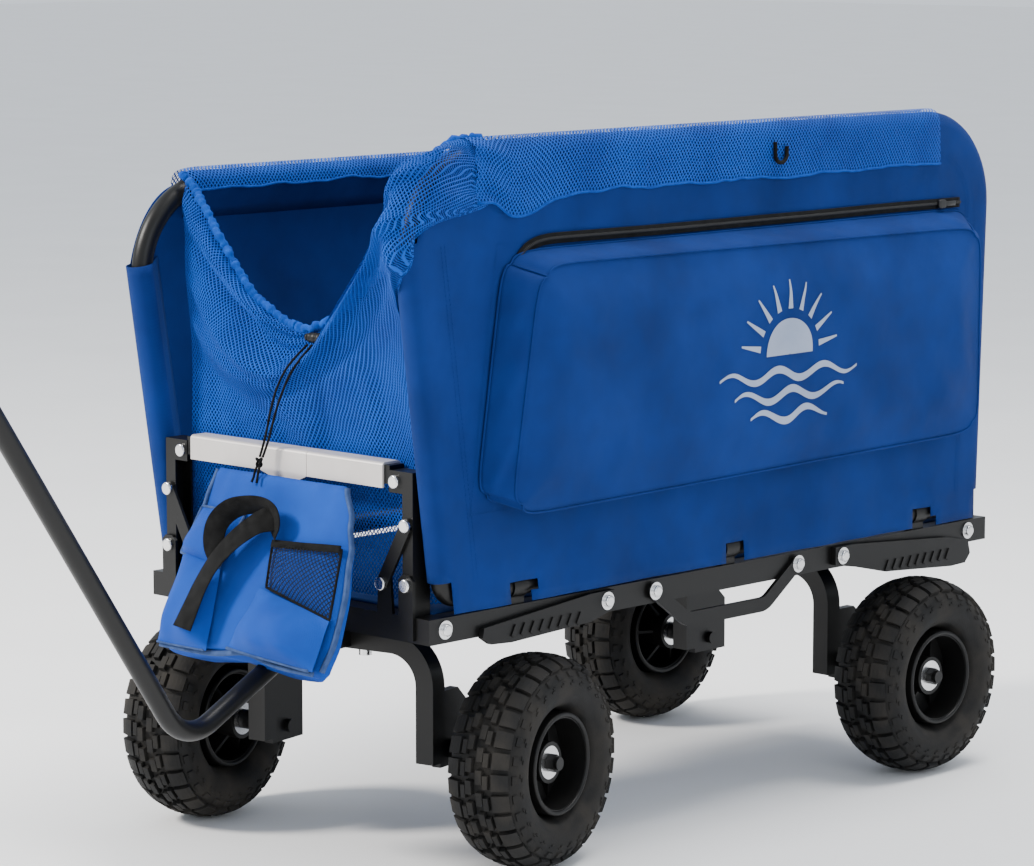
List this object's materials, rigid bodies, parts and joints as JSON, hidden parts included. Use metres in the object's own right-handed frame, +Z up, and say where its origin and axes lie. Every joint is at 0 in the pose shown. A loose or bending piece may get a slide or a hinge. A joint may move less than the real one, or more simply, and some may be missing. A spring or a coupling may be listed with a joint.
{
  "type": "beach cart",
  "caption": "Folding beach cart: steel base on knobby pneumatic wheels, steered truck with pull handle, fold-out fabric side panels, net ends, front organiser bag.",
  "frame": {"origin": "on the ground under the middle of the whole cart, pull handle included", "axes": "+X towards the cargo pocket side, -Y towards the front and the pull handle, +Z up"},
  "size_m": [0.6166, 1.875, 0.9455],
  "materials": {
    "black_steel": "satin powder coat",
    "silver": "satin painted",
    "zinc": "bright zinc plated",
    "tyre_rubber": "dusty knobby tread",
    "rim_plastic": "moulded black plastic",
    "grip_rubber": "soft matte",
    "blue_canvas": "royal blue polyester canvas",
    "bag_canvas": "blue polyester canvas",
    "blue_net": "knitted blue net",
    "black_net": "black netting",
    "webbing": "black webbing and cord",
    "floor_fabric": "dark blue lined board"
  },
  "bodies": {
    "base": {"bag_flap_and_pocket": "bag_canvas", "bag_net_pocket": "black_net", "bag_strap": "webbing", "bar_covers_long": "silver", "bar_covers_short": "silver", "base_brackets": "black_steel", "brace_links": "black_steel", "carry_loops": "rim_plastic", "cord_lock": "rim_plastic", "crossbar_arms": "black_steel", "crossmembers": "black_steel", "drawstring_knot": "webbing", "drawstring_left": "webbing", "drawstring_right": "webbing", "floor_mat": "floor_fabric", "frame_bolts": "zinc", "front_bag": "bag_canvas", "front_net": "blue_net", "hinge_clamps": "black_steel", "kingpin_beam": "black_steel", "kingpin_bolt_washer_nut": "zinc", "lift_grips": "rim_plastic", "posts": "black_steel", "rail_bolts": "zinc", "rear_axle_brackets": "black_steel", "rear_axle_spacers_and_nuts": "black_steel", "rear_bow": "black_steel", "rear_net": "blue_net", "side_rails": "black_steel", "turntable_plate": "black_steel", "under_pouch": "blue_canvas"},
    "front_near_wheel": {"front_near_tyre": "tyre_rubber", "front_near_rim": "rim_plastic", "front_near_bearings": "zinc"},
    "front_far_wheel": {"front_far_tyre": "tyre_rubber", "front_far_rim": "rim_plastic", "front_far_bearings": "zinc"},
    "rear_near_wheel": {"rear_near_tyre": "tyre_rubber", "rear_near_rim": "rim_plastic", "rear_near_bearings": "zinc"},
    "rear_far_wheel": {"rear_far_tyre": "tyre_rubber", "rear_far_rim": "rim_plastic", "rear_far_bearings": "zinc"},
    "front_truck": {"front_bow": "black_steel", "front_axle_brackets": "black_steel", "front_axle_spacers_and_nuts": "black_steel", "turntable_hub_and_yoke": "black_steel", "handle_pivot_bolt": "zinc"},
    "pull_handle": {"handle_tube": "black_steel", "handle_grips": "grip_rubber"},
    "near_panel": {"near_panel_frame": "black_steel", "near_panel_cover": "blue_canvas", "near_net_band": "blue_net", "cargo_pocket": "blue_canvas", "pocket_zip": "rim_plastic", "hem_loop": "webbing"},
    "far_panel": {"far_panel_frame": "black_steel", "far_panel_cover": "blue_canvas", "far_net_band": "blue_net"},
    "zip": {"zip_slider": "rim_plastic"}
  },
  "joints": [
    {"name": "front_steer", "type": "hinge", "parent": "base", "child": "front_truck", "pos_m": [0, 0.007, 0.28], "axis": [0, 0, 1], "range_deg": [-46, 24]},
    {"name": "handle_pitch", "type": "hinge", "parent": "front_truck", "child": "pull_handle", "pos_m": [0.02862, -0.14024, 0.266], "axis": [0.9816, 0.1908, 0], "range_deg": [-2, 50]},
    {"name": "near_panel_fold", "type": "hinge", "parent": "base", "child": "near_panel", "pos_m": [0.234, 0.405, 0.345], "axis": [0, 1, 0], "range_deg": [0, 90]},
    {"name": "far_panel_fold", "type": "hinge", "parent": "base", "child": "far_panel", "pos_m": [-0.234, 0.405, 0.345], "axis": [0, -1, 0], "range_deg": [0, 90]},
    {"name": "zip_slide", "type": "slide", "parent": "near_panel", "child": "zip", "axis": [0, -1, 0], "range_m": [0, 0.74]},
    {"name": "front_near_wheel_spin", "type": "hinge", "parent": "front_truck", "child": "front_near_wheel", "pos_m": [0.23853, 0.05337, 0.13], "axis": [0.9816, 0.1908, 0], "continuous": true},
    {"name": "front_far_wheel_spin", "type": "hinge", "parent": "front_truck", "child": "front_far_wheel", "pos_m": [-0.23853, -0.03937, 0.13], "axis": [0.9816, 0.1908, 0], "continuous": true},
    {"name": "rear_near_wheel_spin", "type": "hinge", "parent": "base", "child": "rear_near_wheel", "pos_m": [0.243, 0.782, 0.13], "axis": [1, 0, 0], "continuous": true},
    {"name": "rear_far_wheel_spin", "type": "hinge", "parent": "base", "child": "rear_far_wheel", "pos_m": [-0.243, 0.782, 0.13], "axis": [1, 0, 0], "continuous": true}
  ]
}
